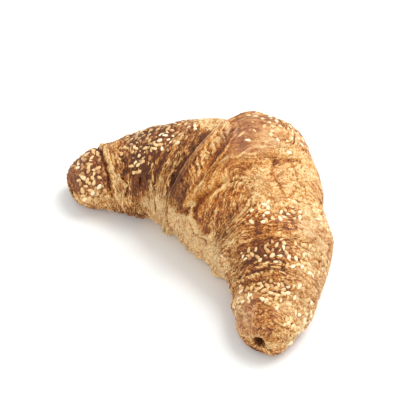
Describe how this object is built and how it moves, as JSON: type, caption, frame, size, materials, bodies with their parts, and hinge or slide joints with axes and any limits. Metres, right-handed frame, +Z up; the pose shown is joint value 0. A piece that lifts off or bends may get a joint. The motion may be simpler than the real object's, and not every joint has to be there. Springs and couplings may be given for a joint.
{
  "type": "croissant",
  "caption": "Seeded croissant: a curved roll of laminated dough with its tongue folded over the top, stepped arms, hollow tips and a flat baked underside",
  "frame": {"origin": "Centre of the bounding box in X and Y, on the flat underside", "axes": "+X runs from the left tip to the right tip, +Y points to the outer side of the bend, +Z is up"},
  "size_m": [0.165, 0.1002, 0.0627],
  "materials": {
    "baked_crust": "matte"
  },
  "bodies": {
    "root": {"croissant": "baked_crust"}
  },
  "joints": []
}
